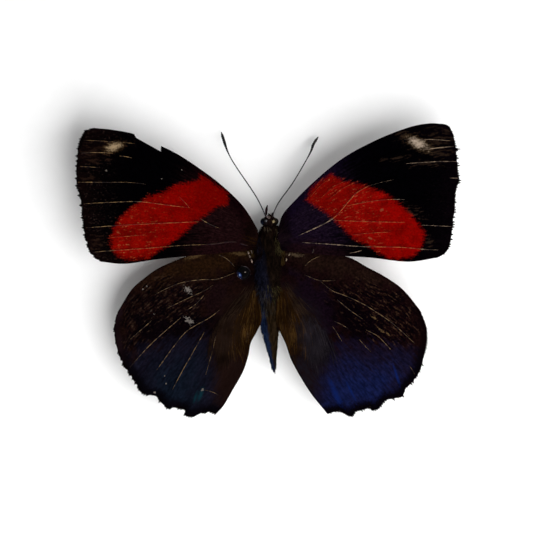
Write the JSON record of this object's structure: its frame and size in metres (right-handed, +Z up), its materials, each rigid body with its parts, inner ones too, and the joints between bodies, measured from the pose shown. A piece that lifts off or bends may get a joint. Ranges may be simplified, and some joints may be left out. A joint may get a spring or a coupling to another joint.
{
  "type": "butterfly specimen",
  "caption": "Dried butterfly specimen with dark spread wings banded in red and shaded blue, resting on its legs, with a glass-headed pin in the left hindwing's root.",
  "frame": {"origin": "on the resting surface, under the middle of the spread wings", "axes": "+Z up, out of the wings' upper side; +Y towards the head; +X towards the right wings as seen from above"},
  "size_m": [0.0546, 0.0424, 0.0067],
  "materials": {
    "forewing_scales": "matte wing scales, black with a red band",
    "hindwing_scales": "matte wing scales, brown to blue-black",
    "body_hair": "short dark brown hair",
    "horn": "dark brown horn, satin",
    "eye": "dark, glossy",
    "pin_glass": "opaque black glass",
    "pin_steel": "drawn steel wire"
  },
  "bodies": {
    "root": {"head": "body_hair", "thorax": "body_hair", "abdomen": "body_hair", "left_palp": "body_hair", "right_palp": "body_hair", "left_foreleg": "body_hair", "right_foreleg": "body_hair", "left_eye": "eye", "right_eye": "eye", "proboscis": "horn", "left_antenna": "horn", "right_antenna": "horn", "left_midleg": "horn", "right_midleg": "horn", "left_hindleg": "horn", "right_hindleg": "horn", "left_forewing": "forewing_scales", "right_forewing": "forewing_scales", "left_hindwing": "hindwing_scales", "right_hindwing": "hindwing_scales", "pin_head": "pin_glass", "pin_shaft": "pin_steel"}
  },
  "joints": []
}
